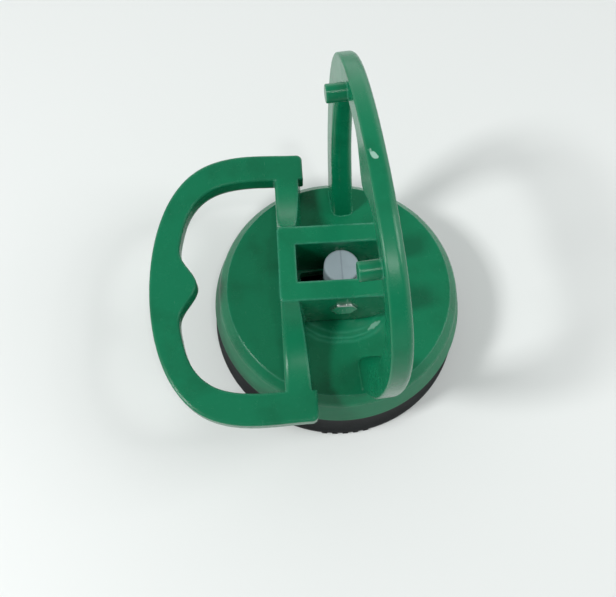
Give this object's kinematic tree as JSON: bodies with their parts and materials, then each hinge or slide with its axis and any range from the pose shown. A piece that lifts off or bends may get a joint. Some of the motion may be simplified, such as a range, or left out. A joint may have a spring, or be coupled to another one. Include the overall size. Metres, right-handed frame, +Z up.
{
  "type": "vacuum suction cup",
  "caption": "Hand suction cup with a round rubber pad, a fixed D handle and a hinged cam lever that lifts the centre post to draw the vacuum.",
  "frame": {"origin": "on the plane of the sealing lip, under the axis of the post", "axes": "+Z up along the post, -X towards the side where the open lever lies, Y across both handles"},
  "size_m": [0.067, 0.0603, 0.0699],
  "materials": {
    "green_plastic": "gloss",
    "black_rubber": "matte",
    "grey_plastic": "matte",
    "steel": "bright zinc"
  },
  "bodies": {
    "base": {"base_body": "green_plastic", "suction_cup": "black_rubber"},
    "insert": {"cup_insert": "steel"},
    "post": {"pull_post": "grey_plastic"},
    "lever": {"lever_handle": "green_plastic", "pivot_bolt": "steel", "pivot_nut": "steel"}
  },
  "joints": [
    {"name": "lever_pivot", "type": "hinge", "parent": "post", "child": "lever", "pos_m": [0, 0, 0.027], "axis": [0.0802, 0.9968, 0], "range_deg": [0, 90]},
    {"name": "post_lift", "type": "slide", "parent": "base", "child": "insert", "axis": [0, 0, 1], "range_m": [0, 0.0028], "deforming": ["suction_cup"]},
    {"name": "post_turn", "type": "hinge", "parent": "insert", "child": "post", "pos_m": [0, 0, 0.02], "axis": [0, 0, 1], "range_deg": [0, 4.65]}
  ],
  "couplings": [
    {"joint": "lever_pivot", "follows": "post_lift", "rad_per_m": 560.9},
    {"joint": "post_turn", "follows": "post_lift", "rad_per_m": 28.6}
  ]
}
